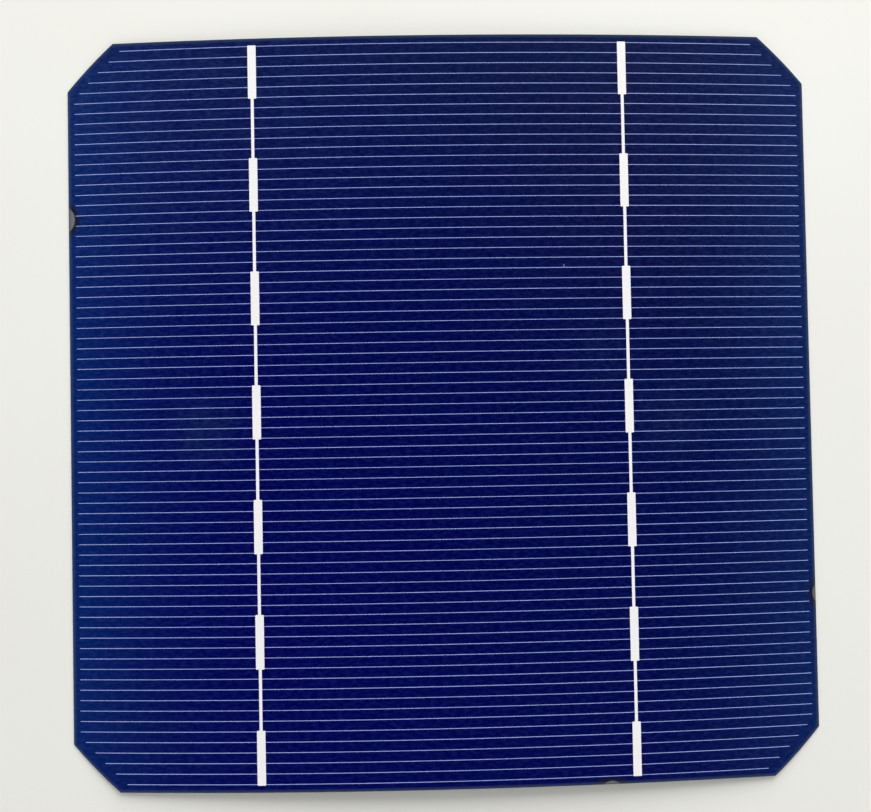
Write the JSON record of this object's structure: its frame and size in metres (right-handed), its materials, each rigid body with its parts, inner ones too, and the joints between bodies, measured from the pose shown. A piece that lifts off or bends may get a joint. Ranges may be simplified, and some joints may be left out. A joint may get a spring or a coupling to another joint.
{
  "type": "solar cell",
  "caption": "Pseudo-square single-crystal silicon solar cell, slightly bowed, with silver fingers and segmented busbars on the blue front and an aluminium back with solder pads.",
  "frame": {"origin": "middle of the cell's outline, on the surface that its left and right edges stand on", "axes": "+Z out of the sunny side, +Y along the busbars, +X across them"},
  "size_m": [0.1248, 0.125, 0.0027],
  "materials": {
    "coated_silicon": "satin",
    "front_silver": "matte",
    "rear_aluminium": "matte",
    "rear_silver": "matte"
  },
  "bodies": {
    "root": {"silicon_wafer": "coated_silicon", "front_fingers": "front_silver", "front_busbar_left": "front_silver", "front_busbar_right": "front_silver", "rear_aluminium": "rear_aluminium", "rear_pad_left_1": "rear_silver", "rear_pad_left_2": "rear_silver", "rear_pad_left_3": "rear_silver", "rear_pad_left_4": "rear_silver", "rear_pad_left_5": "rear_silver", "rear_pad_left_6": "rear_silver", "rear_pad_left_7": "rear_silver", "rear_pad_right_1": "rear_silver", "rear_pad_right_2": "rear_silver", "rear_pad_right_3": "rear_silver", "rear_pad_right_4": "rear_silver", "rear_pad_right_5": "rear_silver", "rear_pad_right_6": "rear_silver", "rear_pad_right_7": "rear_silver"}
  },
  "joints": []
}
